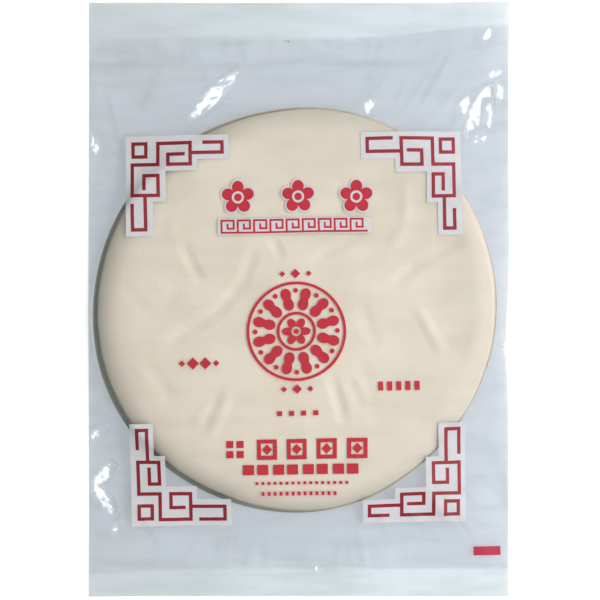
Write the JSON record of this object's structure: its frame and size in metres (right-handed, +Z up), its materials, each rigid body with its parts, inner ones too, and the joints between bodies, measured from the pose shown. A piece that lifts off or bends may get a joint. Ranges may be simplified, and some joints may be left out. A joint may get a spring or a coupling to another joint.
{
  "type": "sealed pack of round spring roll wrappers",
  "caption": "Flat clear film bag, welded at both ends, holding a thick round stack of thin cream spring roll wrappers, with red corner frets printed on its face.",
  "frame": {"origin": "middle of the pack in plan, on the surface that it lies on", "axes": "+Z up through the printed face, +Y along the pack towards its upper end seal, +X to its right side"},
  "size_m": [0.21, 0.297, 0.0181],
  "materials": {
    "clear_film": "glossy clear laminated film with soft wrinkles, closed over cream dough rounds",
    "wrapper_dough": "matt, slightly floury cream wheat dough in thin floppy rounds",
    "red_ink": "solid crimson print on the film",
    "white_ink": "thin milky white print under the red"
  },
  "bodies": {
    "root": {"sealed_bag": "clear_film"}
  },
  "joints": []
}
